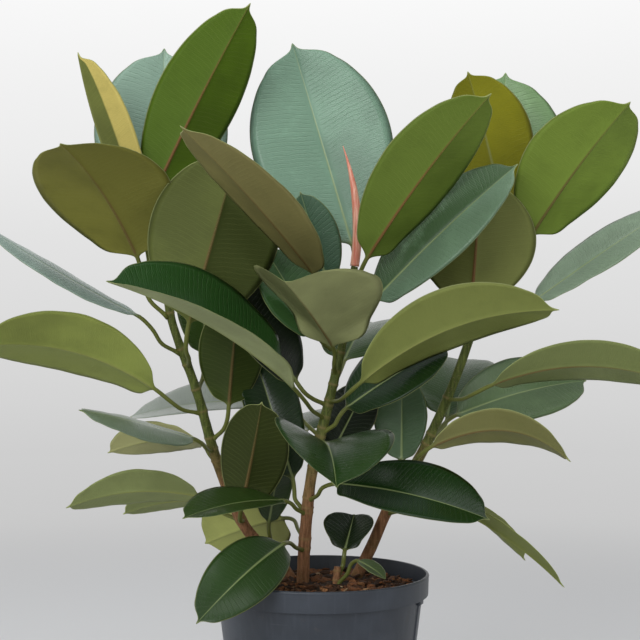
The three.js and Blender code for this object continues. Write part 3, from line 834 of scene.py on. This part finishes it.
bark = bark_finish()
stem_nodes = [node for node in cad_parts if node.startswith(("stem_", "shoot_"))]
for node in stem_nodes:
    title = node.split("_")[1]
    knots = [leaf.foot for name, leaf in leaves.items() if f"_{title}_" in name]
    finished("fine_" + node, tube_mesh(node, STEM_ROWS, STEM_COLUMNS, knots, 0.05), bark, [node])

sheath_skin = sheath_finish()
for node in [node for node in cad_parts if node.startswith("sheath_")]:
    finished("fine_" + node, tube_mesh(node, SHEATH_ROWS, STEM_COLUMNS), sheath_skin, [node])

pot = finished("container", pot_mesh(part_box("pot")[1]), pot_finish(), ["pot"])
drill(pot)
pot.data.shade_smooth()
pot.data.set_sharp_from_angle(angle=math.radians(32))

finished("peat", soil_mesh(), soil_finish(), ["soil"])
feet = []
for node in stem_nodes:
    rings = rings_of(node)
    near = min((middle_of(ring) for ring in rings), key=lambda c: abs(c.z - SOIL_LEVEL))
    feet.append(near.xy)
bark_chips = chip_finish()
chips = strewn_mesh(CHIP_COUNT, (5, 13), random.Random(4), feet, 2)
finished("bark_chips", chips, bark_chips, [])
crumbs = strewn_mesh(CRUMB_COUNT, (1.5, 4.5), random.Random(9), feet, 1)
finished("bark_crumbs", crumbs, bark_chips, [])

# ---------------------------------------------------------------- the studio

FLOOR_REACH = 3.2
WALL_REACH = 4.8
WALL_HEIGHT = 3.6
WALL_STEPS = 16
AIM = Vector((0, 0, 0.4))


def backdrop_finish():
    """Pale paper: lit by the lamps on the floor near the plant, and further out a painted glow,
    darker towards the middle of the floor and lighter and lighter up the wall.
    """
    paint = Finish("studio paper", Roughness=0.9, Specular_IOR_Level=0.1)
    place = paint.place()
    height = paint.parts(place)[2]
    reach = paint.node("VectorMath", {"operation": "LENGTH"}, {0: place}, output=1)

    def greys(share, levels):
        stops = [(spot, srgb(level, level, level)) for spot, level in levels]
        return paint.node("ValToRGB", {"stops": stops}, {0: share})

    # painted light: the paper glows, lighter up the wall and darker towards the middle of the
    # floor, fading into the lamp-lit paper near the plant
    wall = greys(height / 1.8, [(0, 206), (0.08, 212), (0.24, 220), (0.43, 227), (0.61, 236),
                                (0.81, 242), (1, 249)])
    floor = greys(reach / FLOOR_REACH, [(0.18, 190), (0.38, 196), (0.55, 201), (0.8, 204),
                                        (1, 206)])
    colour = paint.mix(height.step(0, 0.03), floor, wall)
    glow = paint.node("Emission", {}, {"Color": colour, "Strength": 1.0})
    share = reach.step(0.7, 2.0)
    output = paint.tree.nodes["Material Output"]
    paint.shader.inputs["Base Color"].default_value = srgb(211, 211, 211)
    plain = Wire(paint, paint.shader.outputs[0])
    both = paint.node("MixShader", {}, {0: share, 1: plain, 2: glow})
    paint.tree.links.new(both.socket, output.inputs[0])
    return paint.material


sweep = [(FLOOR_REACH + (WALL_REACH - FLOOR_REACH) * math.sin(a),
          (WALL_REACH - FLOOR_REACH) * (1 - math.cos(a)))
         for a in (math.pi / 2 * i / WALL_STEPS for i in range(WALL_STEPS + 1))]
outline = [(0, 0)] + sweep + [(WALL_REACH, WALL_HEIGHT)]
paper = spun([(radius / MM, height / MM) for radius, height in outline], 96)
shaped("backdrop", paper, backdrop_finish())


def softbox(name, place, size, power, tint=(1, 1, 1)):
    """A square soft lamp turned to the middle of the plant."""
    lamp = bpy.data.lights.new(name, "AREA")
    lamp.shape, lamp.size, lamp.energy, lamp.color = "SQUARE", size, power, tint
    holder = bpy.data.objects.new(name, lamp)
    holder.location = place
    holder.rotation_euler = (AIM - Vector(place)).to_track_quat("-Z", "Y").to_euler()
    bpy.context.scene.collection.objects.link(holder)


softbox("overhead softbox", (0, -0.5, 2.7), 2.0, 26)
softbox("front softbox", (-1.1, -2.4, 1.5), 1.5, 34, (0.97, 0.99, 1))

world = bpy.data.worlds.new("studio")
world.use_nodes = True
world.node_tree.nodes["Background"].inputs["Color"].default_value = srgb(150, 153, 158)
bpy.context.scene.world = world
bpy.context.scene.view_settings.view_transform = "Standard"

lens = bpy.data.cameras.new("camera")
lens.lens, lens.sensor_width = 82.5, 36
camera = bpy.data.objects.new("camera", lens)
camera.location = (0, -1.413, 0.433)
camera.rotation_euler = (math.radians(90), 0, 0)
bpy.context.scene.collection.objects.link(camera)
bpy.context.scene.camera = camera
